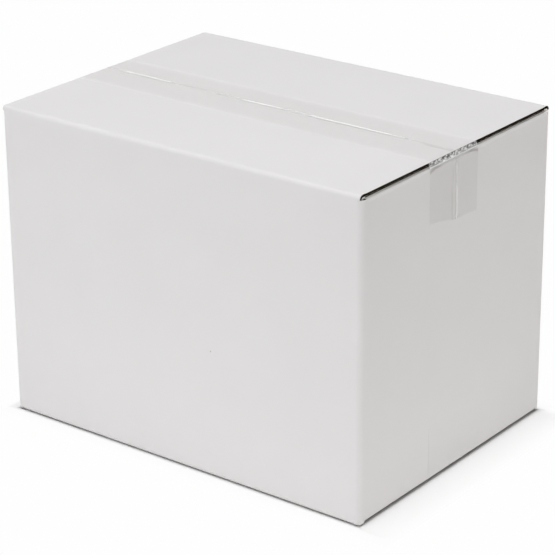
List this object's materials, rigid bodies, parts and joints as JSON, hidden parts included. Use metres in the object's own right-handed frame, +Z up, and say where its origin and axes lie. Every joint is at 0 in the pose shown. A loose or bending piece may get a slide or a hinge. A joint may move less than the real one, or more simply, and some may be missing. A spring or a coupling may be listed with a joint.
{
  "type": "corrugated shipping box",
  "caption": "White slotted corrugated carton, closed, with clear tape along the top and bottom seams and down both ends.",
  "frame": {"origin": "middle of the underside, on the surface the box stands on", "axes": "+X along the length and the taped seams, towards the end without the glued corner; +Y across to the back long wall; +Z up"},
  "size_m": [0.2738, 0.1996, 0.207],
  "materials": {
    "white_board": "matt white liner on B-flute board",
    "clear_tape": "clear glossy film"
  },
  "bodies": {
    "root": {"carton": "white_board", "top_tape": "clear_tape", "bottom_tape": "clear_tape"}
  },
  "joints": []
}
